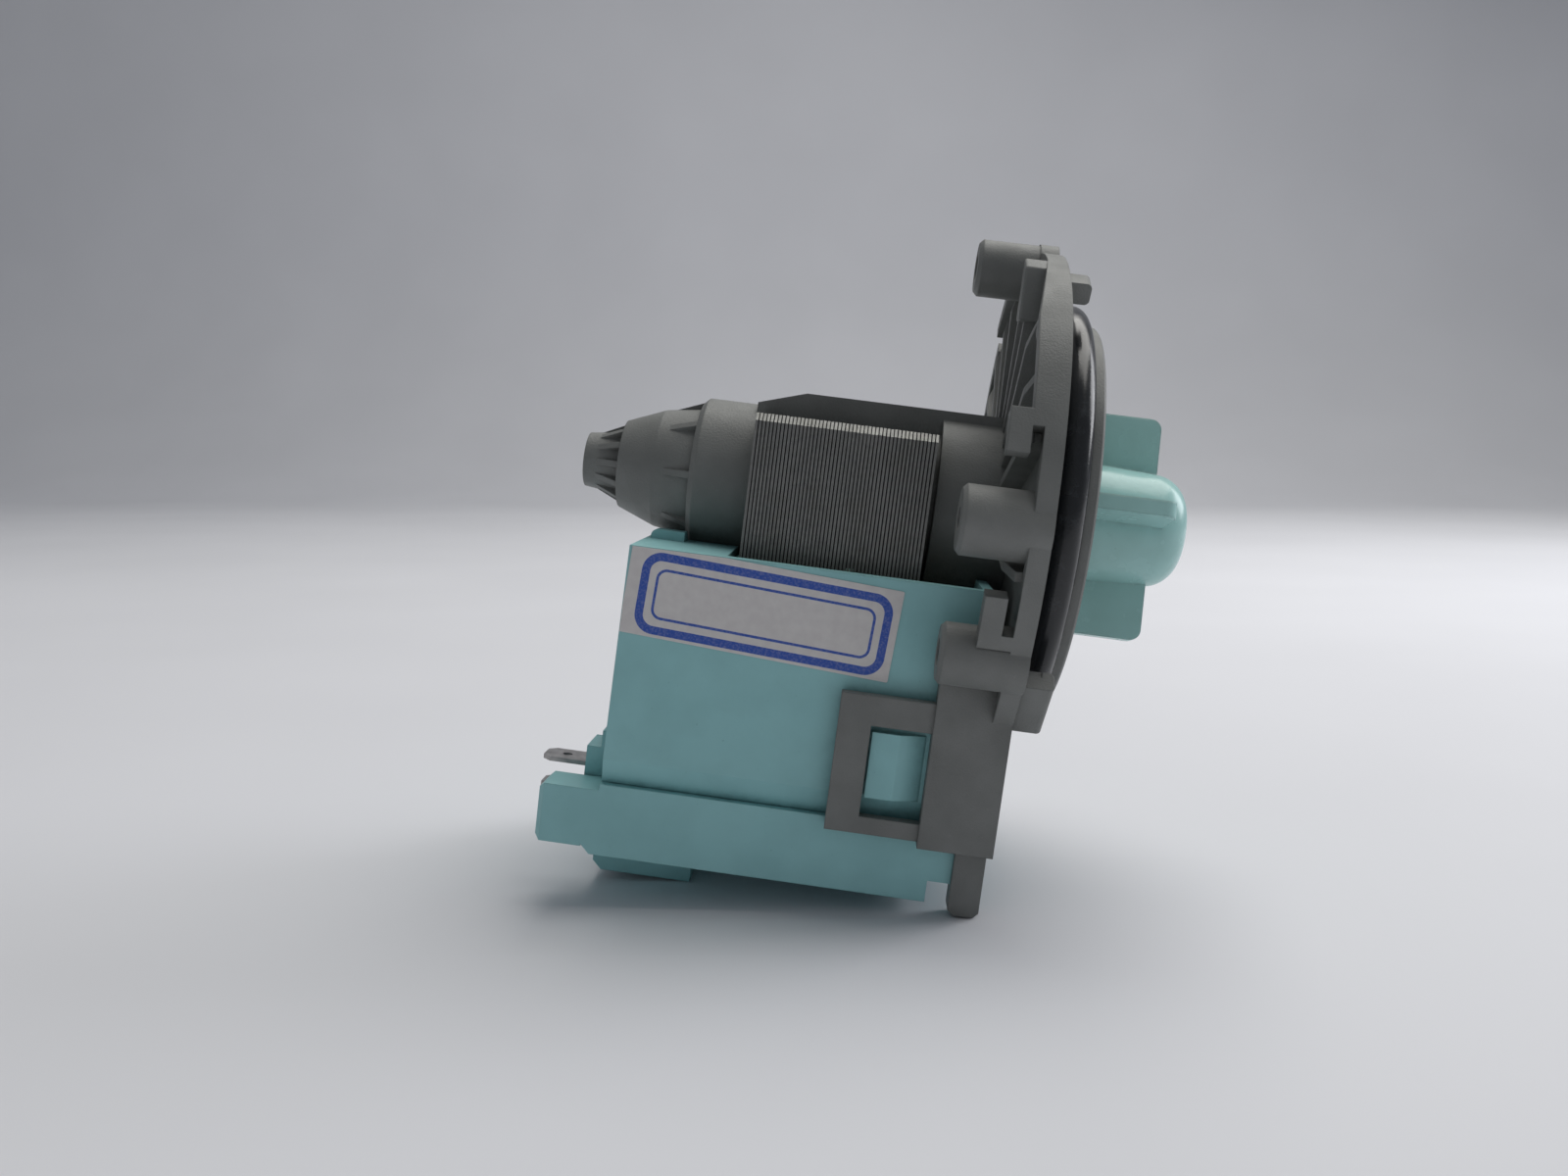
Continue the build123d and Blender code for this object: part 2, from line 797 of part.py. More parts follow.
def base_lid():
    """The tray that closes the box, with the plug guide, the lower terminal's block and a foot."""
    tray = side_plate(
        [
            (-lid_front, -cover_seam),
            (-cover_rear_bottom, -cover_seam),
            (-cover_rear_bottom, -cover_seam - lid_ledge_drop),
            (-lid_rear, -cover_seam - lid_ledge_drop),
            (-lid_rear, lid_corner - lid_bottom),
            (lid_corner - lid_rear, -lid_bottom),
            (-lid_front - lid_notch_front, -lid_bottom),
            (-lid_front - lid_notch_front, lid_notch_height - lid_bottom),
            (-lid_front, lid_notch_height - lid_bottom),
        ],
        -cover_half_width,
        cover_half_width,
    )
    room = box(
        -cover_rear_bottom + cover_wall, -lid_front - cover_wall,
        cover_wall - cover_half_width, cover_half_width - cover_wall,
        lid_floor + lid_notch_height - lid_bottom, overrun - cover_seam,
    )
    yoke_room = box(
        stack_rear - seat_gap, stack_front + seat_gap, -leg_outer - seat_gap, leg_outer + seat_gap,
        -yoke_bottom - seat_gap, overrun - cover_seam,
    )
    tray -= room
    tray -= yoke_room
    tray += plug_guide() + terminal_shelf()
    tray -= terminal_slot(blade_pitch)
    foot = box(
        -lid_foot_front - lid_foot_length, -lid_foot_front, -lid_foot_half_width, lid_foot_half_width,
        -lid_foot_bottom, -lid_bottom,
    )
    foot = chamfer(foot.edges().filter_by(Axis.Y).group_by(Axis.Z)[0].sort_by(Axis.X)[0], lid_foot_chamfer)
    return tray + foot


def plug_guide():
    """The block behind the lid that guides the cable plug."""
    high = -cover_seam - lid_ledge_drop
    block = box(
        -lid_rear - plug_reach, -lid_rear, -cover_half_width, plug_width - cover_half_width,
        high - plug_height, high,
    )
    return chamfer(block.edges().group_by(Axis.X)[0], plug_corner)


def rotor_sleeve():
    """The moulded core that carries the magnet and keys it to the shaft."""
    hub_rear = rear_pocket_front + seat_gap + washer_thickness
    hub_front = -bush_rear - seat_gap - washer_thickness
    return turned(
        [
            (hub_rear, shaft_radius),
            (hub_rear, sleeve_hub_radius),
            (magnet_rear - sleeve_flange_thickness, sleeve_hub_radius),
            (magnet_rear - sleeve_flange_thickness, sleeve_flange_radius),
            (magnet_rear, sleeve_flange_radius),
            (magnet_rear, magnet_inner_radius),
            (magnet_front, magnet_inner_radius),
            (magnet_front, sleeve_flange_radius),
            (magnet_front + sleeve_flange_thickness, sleeve_flange_radius),
            (magnet_front + sleeve_flange_thickness, sleeve_hub_radius),
            (hub_front, sleeve_hub_radius),
            (hub_front, shaft_radius),
        ]
    )


def bearing_carrier():
    """The plug that closes the can and holds the front bearing."""
    ring_groove = carrier_ring_section
    outer = carrier_radius - running_gap
    mount_radius = bush_radius + mount_wall
    ring_front = -carrier_ring_place + ring_groove / 2 + running_gap
    ring_rear = -carrier_ring_place - ring_groove / 2 - running_gap
    return turned(
        [
            (-carrier_rear, mount_radius),
            (-carrier_rear, outer),
            (ring_rear, outer),
            (ring_rear, carrier_radius - ring_groove),
            (ring_front, carrier_radius - ring_groove),
            (ring_front, outer),
            (hub_seat_reach, outer),
            (hub_seat_reach, shaft_radius + free_gap),
            (hub_seat_reach - carrier_face, shaft_radius + free_gap),
            (hub_seat_reach - carrier_face, mount_radius),
        ]
    )


def carrier_ring():
    """The O-ring between the carrier and the can."""
    section = RegularPolygon(carrier_ring_section / 2 - running_gap / 2, carrier_ring_sides)
    centre = carrier_radius - carrier_ring_section / 2
    return revolve(Plane.XZ * (Pos(-carrier_ring_place, centre) * section), Axis.X)


def impeller():
    """The hollow domed hub with its straight blades and its driven tooth."""
    half = make_face(
        Polyline(
            (hub_nose, 0), (impeller_back, 0), (impeller_back, hub_radius), (hub_nose, hub_nose_radius),
            close=True,
        )
    )
    half = fillet(half.vertices().group_by(Axis.X)[-1].sort_by(Axis.Y)[-1], hub_corner)
    body = revolve(Plane.XZ * half, Axis.X)
    blade = side_plate(
        [
            (impeller_back, hub_radius / 2),
            (impeller_front, hub_radius / 2),
            (impeller_front, impeller_radius),
            (impeller_back, impeller_radius),
        ],
        -impeller_blade_thickness / 2,
        impeller_blade_thickness / 2,
    )
    blade = fillet(blade.edges().filter_by(Axis.Y).group_by(Axis.Z)[-1], impeller_corner)
    body += round_about(blade, impeller_blade_count)
    cavity_radius = hub_radius - hub_wall
    body -= x_cylinder(cavity_radius, impeller_back - overrun, hub_shoulder)
    socket = x_cylinder(hub_socket_radius, hub_shoulder - hub_socket_depth, hub_shoulder + overrun)
    tooth_rear = impeller_back + hub_cover_thickness
    tooth = sector(
        cavity_radius + hub_wall / 2, tooth_inner_radius,
        180 - tooth_half_angle, 180 + tooth_half_angle, tooth_rear, hub_shoulder,
    )
    body += [socket, tooth]
    body -= x_cylinder(shaft_radius + running_gap, impeller_back, shaft_front + seat_gap)
    return Rot(blade_phase, 0, 0) * body


def impeller_damper():
    """The rubber pads on both faces of the driven tooth."""
    outer = hub_radius - hub_wall - running_gap
    front = hub_shoulder - hub_socket_depth - seat_gap
    rear = impeller_back + hub_cover_thickness
    pads = sector(outer, tooth_inner_radius, 180 - damper_half_angle, 180 - tooth_half_angle, rear, front)
    pads += sector(outer, tooth_inner_radius, 180 + tooth_half_angle, 180 + damper_half_angle, rear, front)
    web = sector(
        tooth_inner_radius, tooth_inner_radius - damper_web,
        180 - damper_half_angle, 180 + damper_half_angle, rear, front,
    )
    return Rot(blade_phase, 0, 0) * (pads + web)


def drive_dog():
    """The driver on the shaft, which pushes the tooth after a free part turn."""
    outer = hub_radius - hub_wall - free_gap
    dog = x_cylinder(dog_hub_radius, dog_rear, dog_front)
    dog += sector(outer, shaft_radius, -dog_half_angle, dog_half_angle, dog_rear, dog_front)
    dog -= x_cylinder(shaft_radius, dog_rear - overrun, dog_front + overrun)
    return Rot(blade_phase, 0, 0) * dog


def impeller_cover():
    """The disc that closes the hub behind the driver."""
    outer = hub_radius - hub_wall - running_gap
    return x_tube(outer, seal_lip_radius, impeller_back, impeller_back + hub_cover_thickness)


def label():
    """The paper label on the -Y side of the cover, trimmed to the cover's edges."""
    face = Plane.XZ * RectangleRounded(label_length, label_height, label_corner)
    sheet = extrude(face, amount=label_thickness)
    x_middle = -cover_rear_top + label_inset + label_length / 2
    z_middle = -cover_top - label_drop - label_height / 2
    sheet = Pos(x_middle, -cover_half_width, z_middle) * (Rot(0, label_turn, 0) * sheet)
    return sheet & side_plate(
        cover_outline(seat_gap), -cover_half_width - overrun, -cover_half_width
    )


def build_parts():
    """Every sub-part under its own name."""
    bush_front = bush_length - bush_rear
    mount_front = hub_seat_reach - carrier_face
    parts = {
        "front_housing": front_housing(),
        "flange_seal": flange_seal(),
        "core_laminations": core_laminations(),
        "bobbin_near": bobbin(-1),
        "bobbin_far": bobbin(1),
        "winding_near": winding(-1),
        "winding_far": winding(1),
        "coil_cover": coil_cover(),
        "base_lid": base_lid(),
        "terminal_near": terminal(0),
        "terminal_far": terminal(blade_pitch),
        "label": label(),
        "bearing_carrier": bearing_carrier(),
        "carrier_ring": carrier_ring(),
        "front_bearing_mount": x_tube(
            bush_radius + mount_wall, bush_radius, mount_inset - bush_rear, mount_front
        ),
        "front_bearing": x_tube(bush_radius, shaft_radius + running_gap, -bush_rear, bush_front),
        "rear_bearing_mount": x_tube(
            rear_pocket_radius, bush_radius, rear_pocket_rear, rear_pocket_front - mount_inset
        ),
        "rear_bearing": x_tube(
            bush_radius, shaft_radius + running_gap, rear_pocket_rear, rear_pocket_front
        ),
        "shaft": x_cylinder(shaft_radius, rear_pocket_rear - tip_bore_length / 2, shaft_front),
        "rotor_magnet": x_tube(magnet_radius, magnet_inner_radius, magnet_rear, magnet_front),
        "rotor_sleeve": rotor_sleeve(),
        "rear_thrust_washer": x_tube(
            washer_radius, shaft_radius,
            rear_pocket_front + seat_gap, rear_pocket_front + seat_gap + washer_thickness,
        ),
        "front_thrust_washer": x_tube(
            washer_radius, shaft_radius,
            -bush_rear - seat_gap - washer_thickness, -bush_rear - seat_gap,
        ),
        "drive_dog": drive_dog(),
        "impeller": impeller(),
        "impeller_damper": impeller_damper(),
        "impeller_cover": impeller_cover(),
        "impeller_seal": x_tube(
            seal_lip_radius, shaft_radius + running_gap,
            impeller_back, impeller_back + hub_cover_thickness,
        ),
    }
    return parts


os.makedirs("parts", exist_ok=True)
for name, shape in build_parts().items():
    if isinstance(shape, list):
        shape = Compound(shape)
    shape.label = name
    export_step(shape, os.path.join("parts", name + ".step"))
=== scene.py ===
import math

import bmesh
import bpy
from mathutils import Matrix, Vector


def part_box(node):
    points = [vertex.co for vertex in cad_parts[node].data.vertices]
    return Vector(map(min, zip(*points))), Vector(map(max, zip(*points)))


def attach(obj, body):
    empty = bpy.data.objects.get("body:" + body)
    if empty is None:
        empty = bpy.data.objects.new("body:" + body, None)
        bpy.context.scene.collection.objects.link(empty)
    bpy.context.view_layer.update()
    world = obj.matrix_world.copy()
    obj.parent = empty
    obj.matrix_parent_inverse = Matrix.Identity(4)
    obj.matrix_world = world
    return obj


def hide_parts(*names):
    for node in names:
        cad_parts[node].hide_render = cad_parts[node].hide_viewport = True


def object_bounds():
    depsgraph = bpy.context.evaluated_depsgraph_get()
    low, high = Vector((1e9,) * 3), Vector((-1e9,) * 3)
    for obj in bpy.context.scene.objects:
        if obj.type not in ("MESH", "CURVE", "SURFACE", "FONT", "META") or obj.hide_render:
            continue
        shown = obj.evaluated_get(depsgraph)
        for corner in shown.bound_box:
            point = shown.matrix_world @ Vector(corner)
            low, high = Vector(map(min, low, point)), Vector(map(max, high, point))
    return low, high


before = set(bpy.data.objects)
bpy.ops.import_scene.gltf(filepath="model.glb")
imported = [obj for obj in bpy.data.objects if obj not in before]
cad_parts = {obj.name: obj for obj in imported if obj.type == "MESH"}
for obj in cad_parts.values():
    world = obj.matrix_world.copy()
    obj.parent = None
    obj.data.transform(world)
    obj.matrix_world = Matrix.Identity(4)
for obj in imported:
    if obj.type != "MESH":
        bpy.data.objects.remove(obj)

cad_low, cad_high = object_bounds()
MM = 0.001
AXIS_X = (1, 0, 0)

# The Mix node's sockets for colour, which have no names of their own
SHARE, FIRST, SECOND, MIXED = 0, 6, 7, 2

# The photograph's viewpoint, in the part's own frame
IMAGE_WIDTH_PX = 1600
FOCAL_PX = 1351
SENSOR_MM = 36
CAMERA_PLACE_MM = (-29.7, -246.2, 10.8)
CAMERA_ROLL, CAMERA_PITCH, CAMERA_YAW = 7.20, 6.96, 2.69

# The pump stands nose down on its feet, so the floor is tilted in the part's frame
FLOOR_TILT = 7.16
FLOOR_HEIGHT_MM = -66.6


# Colours and nodes


def srgb(hex_code):
    """The linear colour of an sRGB hex value."""
    channels = [int(hex_code[i:i + 2], 16) / 255 for i in (1, 3, 5)]
    linear = [c / 12.92 if c <= 0.04045 else ((c + 0.055) / 1.055) ** 2.4 for c in channels]
    return (*linear, 1)


def add_node(material, kind, sockets, output=0, **settings):
    """A shader node whose sockets take values or other nodes' outputs; returns one output."""
    made = material.node_tree.nodes.new("ShaderNode" + kind)
    for name, value in settings.items():
        setattr(made, name, value)
    for name, value in sockets.items():
        if isinstance(value, bpy.types.NodeSocket):
            material.node_tree.links.new(value, made.inputs[name])
        else:
            made.inputs[name].default_value = value
    return made.outputs[output] if made.outputs else None


def new_material(name):
    """An empty material and its place coordinates in metres."""
    material = bpy.data.materials.new(name)
    material.use_nodes = True
    material.node_tree.nodes.clear()
    return material, add_node(material, "TexCoord", {}, "Object")


def finish_material(material, **sockets):
    """The surface shader of a material; a socket's name is written with underscores."""
    named = {name.replace("_", " "): value for name, value in sockets.items()}
    shader = add_node(material, "BsdfPrincipled", named)
    add_node(material, "OutputMaterial", {"Surface": shader})
    return material


def blotches(material, place, size_mm, low=0.0, high=1.0, span=(0.3, 0.7), detail=3.0, roughness=0.5):
    """Soft irregular patches about size_mm across, from one value to another."""
    sockets = {"Vector": place, "Scale": 1 / (size_mm * MM), "Detail": detail, "Roughness": roughness}
    patches = add_node(material, "TexNoise", sockets)
    sockets = {"Value": patches, "From Min": span[0], "From Max": span[1], "To Min": low, "To Max": high}
    return add_node(material, "MapRange", sockets)


def waves(material, place, axis, pitch_mm):
    """Even ridges across one axis, between -1 and 1."""
    along = add_node(material, "SeparateXYZ", {0: place}, axis)
    turn = add_node(material, "Math", {0: along, 1: 2 * math.pi / (pitch_mm * MM)}, operation="MULTIPLY")
    return add_node(material, "Math", {0: turn}, operation="SINE")


# Moulded plastics


def moulded_plastic(name, colours, gloss_span, grain_mm, depth_mm, edge_mm):
    """A moulded plastic: slow shade drift, grain, softened edges, stray specks, and corners darkened by
    ambient occlusion as painted shade mixed with dirt.

    The colours are those of the plastic, its darker drift, the dirt and painted shade of the corners, and
    the specks. The grain is drawn a few times coarser than the mould's own 0.1 mm, so that it shows.
    """
    colour, shade, grime_and_shade, speck = [srgb(hex_code) for hex_code in colours]
    material, place = new_material(name)
    drift = blotches(material, place, 9, span=(0.35, 0.65))
    base = add_node(material, "Mix", {SHARE: drift, FIRST: shade, SECOND: colour}, MIXED, data_type="RGBA")
    mottle = blotches(material, place, 0.7, 0.0, 0.4, (0.62, 0.8), 4, 0.7)
    base = add_node(material, "Mix", {SHARE: mottle, FIRST: base, SECOND: shade}, MIXED, data_type="RGBA")
    stray = blotches(material, place, 0.8, 0.0, 0.3, (0.74, 0.8), 1)
    base = add_node(material, "Mix", {SHARE: stray, FIRST: base, SECOND: speck}, MIXED, data_type="RGBA")
    # Painted shade: corners that ambient occlusion finds are darkened towards the third colour, broken
    # into streaks like settled dirt
    open_share = add_node(material, "AmbientOcclusion", {"Distance": 4 * MM}, "AO", samples=4)
    dusty = add_node(
        material, "MapRange",
        {"Value": open_share, "From Min": 0.25, "From Max": 0.85, "To Min": 0.75, "To Max": 0.0},
    )
    streak = blotches(material, place, 3, 0.35, 1.0, (0.3, 0.7), 4, 0.65)
    shade_and_dust = add_node(material, "Math", {0: dusty, 1: streak}, operation="MULTIPLY")
    # Mixes in the painted corner shade and dirt
    base = add_node(material, "Mix", {SHARE: shade_and_dust, FIRST: base, SECOND: grime_and_shade}, MIXED, data_type="RGBA")
    rounded = add_node(material, "Bevel", {"Radius": edge_mm * MM}, samples=4)
    grain = blotches(material, place, grain_mm, roughness=0.6)
    return finish_material(
        material, Base_Color=base, Roughness=blotches(material, place, 5, *gloss_span),
        Normal=add_node(
            material, "Bump",
            {"Height": grain, "Distance": depth_mm * MM, "Strength": 1.0, "Normal": rounded},
        ),
        IOR=1.5,
    )


def grey_polypropylene():
    """Talc-filled polypropylene from a spark-eroded mould: dull, neutral grey with a fine grain."""
    return moulded_plastic(
        "grey_polypropylene", ("#7d7f7d", "#727472", "#42443f", "#8d8e8b"),
        gloss_span=(0.46, 0.58), grain_mm=0.35, depth_mm=0.035, edge_mm=0.35,
    )


def aqua_polypropylene():
    """Pale aqua polypropylene: smooth satin faces that show faint flow marks."""
    return moulded_plastic(
        "aqua_polypropylene", ("#9bd1d4", "#94c9cc", "#568688", "#6f9f9e"),
        gloss_span=(0.38, 0.52), grain_mm=0.5, depth_mm=0.012, edge_mm=0.3,
    )


def aqua_impeller_plastic():
    """The impeller's glossier grade, polished by the mould, with soft bright edges."""
    return moulded_plastic(
        "aqua_impeller_plastic", ("#abd9d6", "#a3d0cc", "#649793", "#8ab5b2"),
        gloss_span=(0.2, 0.3), grain_mm=0.8, depth_mm=0.008, edge_mm=0.7,
    )


def black_polyamide():
    """Glass-filled polyamide of the inner pieces: near black, dry sheen."""
    return moulded_plastic(
        "black_polyamide", ("#2b2c2e", "#242526", "#18191a", "#4a4b4c"),
        gloss_span=(0.5, 0.62), grain_mm=0.3, depth_mm=0.03, edge_mm=0.2,
    )


def natural_polyamide():
    """Uncoloured polyamide of the coil formers and the rotor's core: milky ivory."""
    return moulded_plastic(
        "natural_polyamide", ("#d9d4c4", "#cdc7b4", "#a39c86", "#b5ae99"),
        gloss_span=(0.4, 0.52), grain_mm=0.4, depth_mm=0.02, edge_mm=0.2,
    )


# Rubber, carbon, ceramic and ferrite


def nitrile_rubber():
    """Black nitrile rubber: wet-looking skin with a thin long highlight, dusty in places."""
    material, place = new_material("nitrile_rubber")
    bloom = blotches(material, place, 2.5, span=(0.55, 0.8), detail=5, roughness=0.65)
    skin = blotches(material, place, 0.4)
    tones = {SHARE: bloom, FIRST: srgb("#181b1f"), SECOND: srgb("#33373b")}
    return finish_material(
        material, Base_Color=add_node(material, "Mix", tones, MIXED, data_type="RGBA"),
        Roughness=blotches(material, place, 4, 0.16, 0.3), IOR=1.52,
        Normal=add_node(material, "Bump", {"Height": skin, "Distance": 0.006 * MM, "Strength": 1.0}),
    )


def ground_solid(name, colour, shade, gloss, mark_mm):
    """A hard ground solid: even colour, fine turning marks round the rotor axis."""
    material, place = new_material(name)
    speckle = blotches(material, place, 1.2)
    marks = waves(material, place, "X", mark_mm)
    tones = {SHARE: speckle, FIRST: srgb(shade), SECOND: srgb(colour)}
    return finish_material(
        material, Base_Color=add_node(material, "Mix", tones, MIXED, data_type="RGBA"),
        Roughness=gloss,
        Normal=add_node(material, "Bump", {"Height": marks, "Distance": 0.004 * MM, "Strength": 1.0}),
    )


# Metals


def electrical_steel():
    """Punched electrical steel: dull grey oxide skin, faint rust stains, bright cut edges."""
    material, place = new_material("electrical_steel")
    burr = blotches(material, place, 0.8, detail=5, roughness=0.7)
    tones = {SHARE: burr, FIRST: srgb("#7a7b7a"), SECOND: srgb("#8e8e8b")}
    base = add_node(material, "Mix", tones, MIXED, data_type="RGBA")
    stain = blotches(material, place, 5, 0.0, 0.4, (0.5, 0.75), 4, 0.6)
    stained = {SHARE: stain, FIRST: base, SECOND: srgb("#6d6b63")}
    return finish_material(
        material, Base_Color=add_node(material, "Mix", stained, MIXED, data_type="RGBA"),
        Roughness=blotches(material, place, 1.5, 0.38, 0.5), Metallic=0.8,
        Normal=add_node(material, "Bump", {"Height": burr, "Distance": 0.006 * MM, "Strength": 1.0}),
    )


def worked_metal(name, colour, shade, gloss_span, mark_mm):
    """Drawn or tinned metal: small shade changes and fine marks along its length."""
    material, place = new_material(name)
    stretched = add_node(material, "Mapping", {"Vector": place, "Scale": (0.1, 1.0, 1.0)})
    marks = blotches(material, stretched, mark_mm)
    cloud = blotches(material, place, 2)
    tones = {SHARE: cloud, FIRST: srgb(shade), SECOND: srgb(colour)}
    return finish_material(
        material, Base_Color=add_node(material, "Mix", tones, MIXED, data_type="RGBA"),
        Roughness=blotches(material, stretched, mark_mm, *gloss_span), Metallic=1.0,
        Normal=add_node(material, "Bump", {"Height": marks, "Distance": 0.006 * MM, "Strength": 1.0}),
    )


def enamelled_copper():
    """Enamelled copper wire: close turns of 0.3 mm, amber varnish over bright copper."""
    material, place = new_material("enamelled_copper")
    wire = waves(material, place, "Z", 0.3)
    groove = add_node(material, "MapRange", {"Value": wire, "From Min": -1.0, "From Max": 1.0})
    tones = {SHARE: groove, FIRST: srgb("#5a2a16"), SECOND: srgb("#b0683a")}
    return finish_material(
        material, Base_Color=add_node(material, "Mix", tones, MIXED, data_type="RGBA"),
        Roughness=0.32, Metallic=0.7, Coat_Weight=0.6,
        Normal=add_node(material, "Bump", {"Height": groove, "Distance": 0.1 * MM, "Strength": 1.0}),
    )


# Label

LABEL_LENGTH_MM, LABEL_HEIGHT_MM, LABEL_TURN = 45.6, 15.4, 3.3
PRINT_CENTRE_MM = (0.5, -0.3)
PRINT_HALF_MM = (21.1, 6.9)
BROAD_LINE_MM = {"inset": 0.0, "width": 1.4, "corner": 3.3}
FINE_LINE_MM = {"inset": 2.6, "width": 0.45, "corner": 1.8}


def label_centre():
    """The middle of the whole label, from the two sides that the cover doesn't trim."""
    low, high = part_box("label")
    turn = math.radians(LABEL_TURN)
    reach_x = (LABEL_LENGTH_MM * math.cos(turn) + LABEL_HEIGHT_MM * math.sin(turn)) / 2 * MM
    reach_z = (LABEL_LENGTH_MM * math.sin(turn) + LABEL_HEIGHT_MM * math.cos(turn)) / 2 * MM
    return Vector((high.x - reach_x, 0, low.z + reach_z))


def printed_line(material, offset, line):
    """One line of the frame: a rounded rectangle of its own inset, width and corner."""
    mirrored = add_node(material, "VectorMath", {0: offset}, operation="ABSOLUTE")
    straight = [(half - line["inset"] - line["corner"]) * MM for half in PRINT_HALF_MM]
    past = add_node(
        material, "VectorMath", {0: mirrored, 1: (straight[0], 1, straight[1])}, operation="SUBTRACT"
    )
    beyond = add_node(material, "VectorMath", {0: past, 1: (0, 0, 0)}, operation="MAXIMUM")
    length = add_node(material, "VectorMath", {0: beyond}, "Value", operation="LENGTH")
    sockets = {0: length, 1: (line["corner"] - line["width"] / 2) * MM, 2: line["width"] / 2 * MM}
    return add_node(material, "Math", sockets, operation="COMPARE")


def printed_label():
    """Coated white paper with a generic double frame printed in blue, left blank inside."""
    material, place = new_material("coated_label_paper")
    flat = add_node(
        material, "Mapping",
        {"Vector": place, "Location": label_centre(), "Rotation": (0, math.radians(LABEL_TURN), 0)},
        vector_type="TEXTURE",
    )
    centre = (PRINT_CENTRE_MM[0] * MM, 0, PRINT_CENTRE_MM[1] * MM)
    offset = add_node(material, "VectorMath", {0: flat, 1: centre}, operation="SUBTRACT")
    lines = [printed_line(material, offset, line) for line in (BROAD_LINE_MM, FINE_LINE_MM)]
    ink = add_node(material, "Math", {0: lines[0], 1: lines[1]}, operation="MAXIMUM")
    patchy = blotches(material, place, 0.35, 0.75, 1.0, (0.25, 0.55), 4, 0.7)
    print_share = add_node(material, "Math", {0: ink, 1: patchy}, operation="MULTIPLY")
    fibre = blotches(material, place, 1.5)
    tones = {SHARE: fibre, FIRST: srgb("#d8d4d3"), SECOND: srgb("#e0dddb")}
    paper = add_node(material, "Mix", tones, MIXED, data_type="RGBA")
    cockle = blotches(material, place, 6, detail=2)
    printed = {SHARE: print_share, FIRST: paper, SECOND: srgb("#2b55b4")}
    return finish_material(
        material, Base_Color=add_node(material, "Mix", printed, MIXED, data_type="RGBA"),
        Roughness=0.5,
        Normal=add_node(material, "Bump", {"Height": cockle, "Distance": 0.12 * MM, "Strength": 1.0}),
    )


# Pieces made here

# The flange's rim and deeper skirt, with angles in degrees from the top towards the near side
RIM_DEPTH_MM, SKIRT_DEPTH_MM, SKIRT_FROM = 3.3, 5.2, 45
RIM_BAND_MM = (43.1, 46.7)

# The short near lug: the CAD lug's angles, then the flat wall's lowest and highest x, y and z,
# how far its top falls towards the near side, and its rounded edges
LUG_FROM, LUG_TO = 20, 48
LUG_WALL_MM = ((-7.2, -2.2), (-20.5, -16.4), (32.9, 43.6))
LUG_BROW_MM = 1.9
LUG_EDGE_MM = 0.35


def round_the_axis(point):
    """A point's distance from the rotor axis in mm, and its angle from the top to the near side."""
    return math.hypot(point.y, point.z) / MM, math.degrees(math.atan2(-point.y, point.z))


def show(name, mesh, body, slot, *nodes):
    """Puts a finished mesh in the scene, on its body and in place of its CAD nodes."""
    piece = bpy.data.objects.new(name, mesh)
    bpy.context.collection.objects.link(piece)
    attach(piece, body)
    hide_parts(*nodes)
    return piece


def mesh_of(bm, name, material, smooth=False):
    """Turns a bmesh into a mesh with one material."""
    for face in bm.faces:
        face.smooth = smooth
    mesh = bpy.data.meshes.new(name)
    bm.to_mesh(mesh)
    bm.free()
    mesh.materials.append(material)
    return mesh


def welded(node):
    """A copy of a CAD node's mesh with its triangles joined."""
    bm = bmesh.new()
    bm.from_mesh(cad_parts[node].data)
    bmesh.ops.remove_doubles(bm, verts=bm.verts, dist=0.002 * MM)
    return bm


def slope_the_rim(bm):
    """Takes the CAD's curved lug back into the rim, whose rear climbs there to the skirt."""
    near_zero = 0.001 * MM
    slack_mm, slack_angle = 0.05, 0.1
    moved = set()
    for point in bm.verts:
        radius, angle = round_the_axis(point.co)
        behind = point.co.x < -(RIM_DEPTH_MM - slack_mm) * MM
        beside = LUG_FROM - slack_angle < angle < LUG_TO + slack_angle
        if behind and beside and RIM_BAND_MM[0] < radius < RIM_BAND_MM[1]:
            climb = min(1, max(0, (angle - LUG_FROM) / (SKIRT_FROM - LUG_FROM)))
            point.co.x = -(RIM_DEPTH_MM + (SKIRT_DEPTH_MM - RIM_DEPTH_MM) * climb) * MM
            moved.add(point)
    collapsed = [
        face for face in bm.faces
        if moved.issuperset(face.verts) and min(edge.calc_length() for edge in face.edges) < near_zero
    ]
    bmesh.ops.delete(bm, geom=collapsed, context="FACES_ONLY")


def flat_lug(bm):
    """The lug as an upright wall on the flange, whose top falls away with the rim's curve."""
    wall = bmesh.ops.create_cube(bm, size=MM)["verts"]
    centre = [(high + low) / 2 * MM for low, high in LUG_WALL_MM]
    bmesh.ops.scale(bm, vec=[high - low for low, high in LUG_WALL_MM], verts=wall)
    bmesh.ops.translate(bm, vec=centre, verts=wall)
    brow = [point for point in wall if point.co.y < centre[1] and point.co.z > centre[2]]
    bmesh.ops.translate(bm, vec=(0, 0, -LUG_BROW_MM * MM), verts=brow)
    corners = set(wall)
    edges = [edge for edge in bm.edges if corners.issuperset(edge.verts)]
    bmesh.ops.bevel(
        bm, geom=edges, offset=LUG_EDGE_MM * MM, segments=2, profile=0.5, affect="EDGES",
        material=-1,
    )


def front_moulding(material):
    """The CAD moulding with its short near lug as a flat wall beside a sloped rim."""
    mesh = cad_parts["front_housing"].data.copy()
    mesh.name = "front_moulding"
    mesh.materials.clear()
    mesh.materials.append(material)
    bm = bmesh.new()
    bm.from_mesh(mesh)
    slope_the_rim(bm)
    flat_lug(bm)
    bm.to_mesh(mesh)
    bm.free()
    show("front_moulding", mesh, "motor", "grey_plastic", "front_housing")


